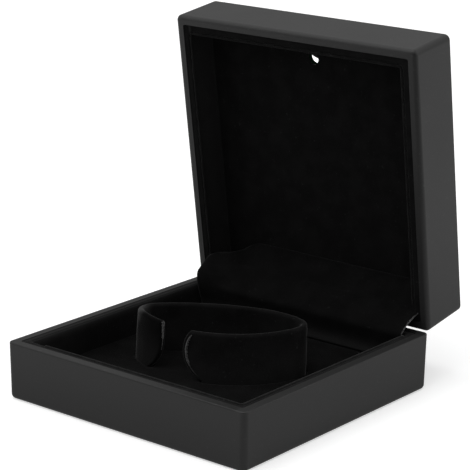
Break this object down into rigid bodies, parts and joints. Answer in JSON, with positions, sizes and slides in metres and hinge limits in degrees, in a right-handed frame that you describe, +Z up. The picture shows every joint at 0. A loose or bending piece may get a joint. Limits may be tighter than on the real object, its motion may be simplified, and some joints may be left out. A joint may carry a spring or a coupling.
{
  "type": "lighted bracelet box",
  "caption": "Square black jewellery box with a hinged lid, a lamp in the lid panel, and a velvet holder on a pad for one bangle.",
  "frame": {"origin": "middle of the underside of the base, on the surface that the box stands on", "axes": "+X to the right along the hinge, +Y from the front to the hinge side, +Z up"},
  "size_m": [0.1, 0.1181, 0.1198],
  "materials": {
    "black_moulding": "moulded case with a fine matt black coat",
    "black_flock": "thin moulded tray flocked with short black fibre",
    "black_velvet": "short black velvet pile with light raw cut edges",
    "grey_strip": "plain grey plastic, hidden",
    "plated_steel": "zinc plated pressed steel",
    "spring_steel": "bright spring steel strip",
    "green_board": "green lacquered board",
    "black_chip": "black moulded component",
    "white_lamp": "milky lamp lens, glowing white",
    "cell_steel": "bright steel can",
    "contact_brass": "thin spring brass",
    "switch_white": "off-white moulded blade",
    "wire_black": "soft black insulation"
  },
  "bodies": {
    "base": {"base_shell": "black_moulding", "base_liner": "black_flock", "platform_pad": "black_velvet", "holder_core": "grey_strip", "holder_cover": "black_velvet", "hinge_cover": "black_velvet", "base_hinge_leaf": "plated_steel", "hinge_pin": "plated_steel", "base_hinge_screws": "plated_steel", "bow_springs": "spring_steel"},
    "lid": {"lid_shell": "black_moulding", "lid_liner": "black_flock", "lid_hinge_leaf": "plated_steel", "lid_hinge_screws": "plated_steel", "light_housing": "grey_strip", "circuit_board": "green_board", "board_resistor": "black_chip", "led_lamp": "white_lamp", "coin_cell": "cell_steel", "upper_contact": "contact_brass", "lower_contact": "contact_brass", "cell_cover": "grey_strip", "light_screws": "plated_steel", "switch_body": "black_chip", "switch_leaf_spring": "spring_steel", "switch_wires": "wire_black"},
    "switch_blade": {"switch_plunger": "switch_white"}
  },
  "joints": [
    {"name": "lid_hinge", "type": "hinge", "parent": "base", "child": "lid", "pos_m": [0, 0.0489, 0.02005], "axis": [1, 0, 0], "range_deg": [0, 81.7], "deforming": ["hinge_cover", "bow_springs"]},
    {"name": "switch_press", "type": "slide", "parent": "lid", "child": "switch_blade", "axis": [0, 0.9895, 0.1444], "range_m": [0, 0.001], "deforming": ["switch_leaf_spring"]}
  ],
  "couplings": [
    {"joint": "switch_press", "follows": "lid_hinge", "m_per_rad": 0.0007}
  ]
}
